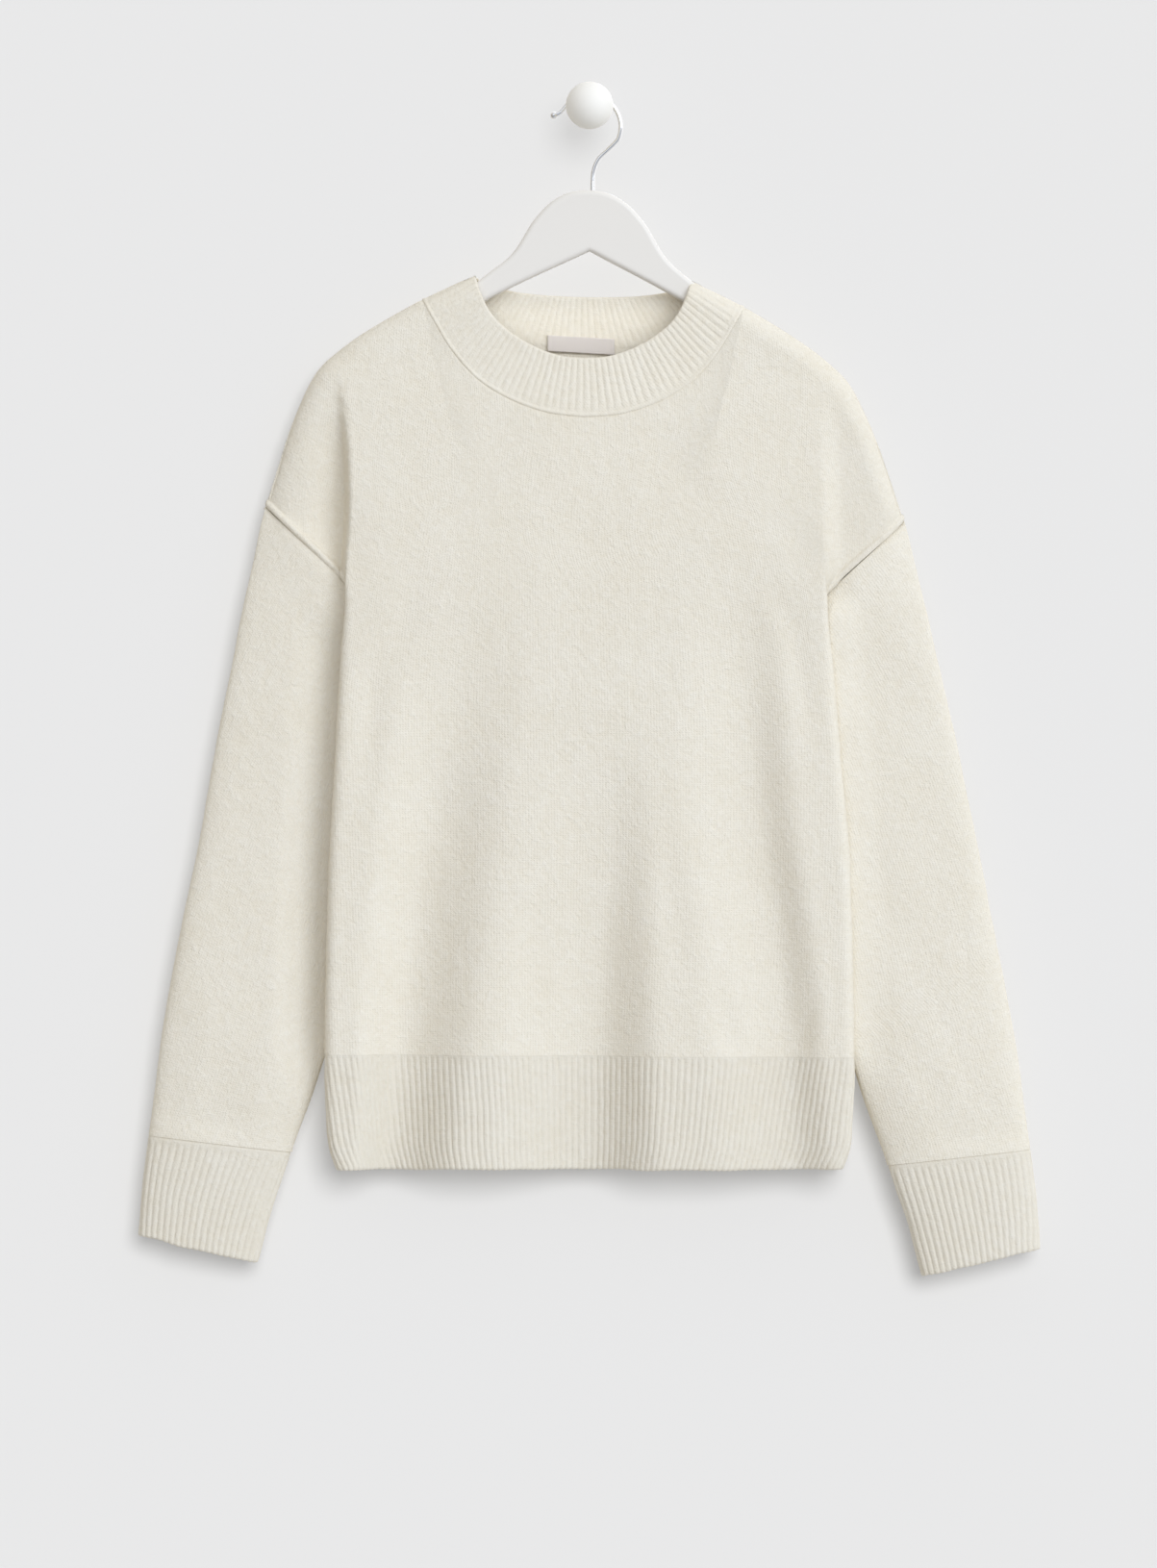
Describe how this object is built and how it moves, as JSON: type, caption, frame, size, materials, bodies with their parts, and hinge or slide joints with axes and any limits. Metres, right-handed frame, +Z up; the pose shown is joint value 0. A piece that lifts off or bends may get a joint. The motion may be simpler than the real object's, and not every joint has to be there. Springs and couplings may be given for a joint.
{
  "type": "crewneck sweater on a hanger and wall knob",
  "caption": "Knitted crewneck sweater with ribbed neckband, cuffs and hem, hanging on a wooden hanger whose wire hook rests on a wall knob.",
  "frame": {"origin": "middle of the knob's flat face on the wall", "axes": "+Z up, +Y into the wall, +X to the right as the front of the sweater is faced"},
  "size_m": [0.6316, 0.0685, 0.8325],
  "materials": {
    "knit": "soft brushed knit, cream",
    "rib": "soft 1x1 rib, cream",
    "woven": "smooth woven tape, bare",
    "painted_wood": "white painted wood, satin",
    "chrome": "polished wire",
    "knob_paint": "white painted wood, satin"
  },
  "bodies": {
    "root": {"body_front": "knit", "body_back": "knit", "hem_rib_front": "rib", "hem_rib_back": "rib", "sleeve_left": "knit", "sleeve_right": "knit", "cuff_left": "rib", "cuff_right": "rib", "neckband": "rib", "neck_label": "woven", "hanger_wood": "painted_wood", "hanger_hook": "chrome", "wall_knob": "knob_paint"}
  },
  "joints": []
}
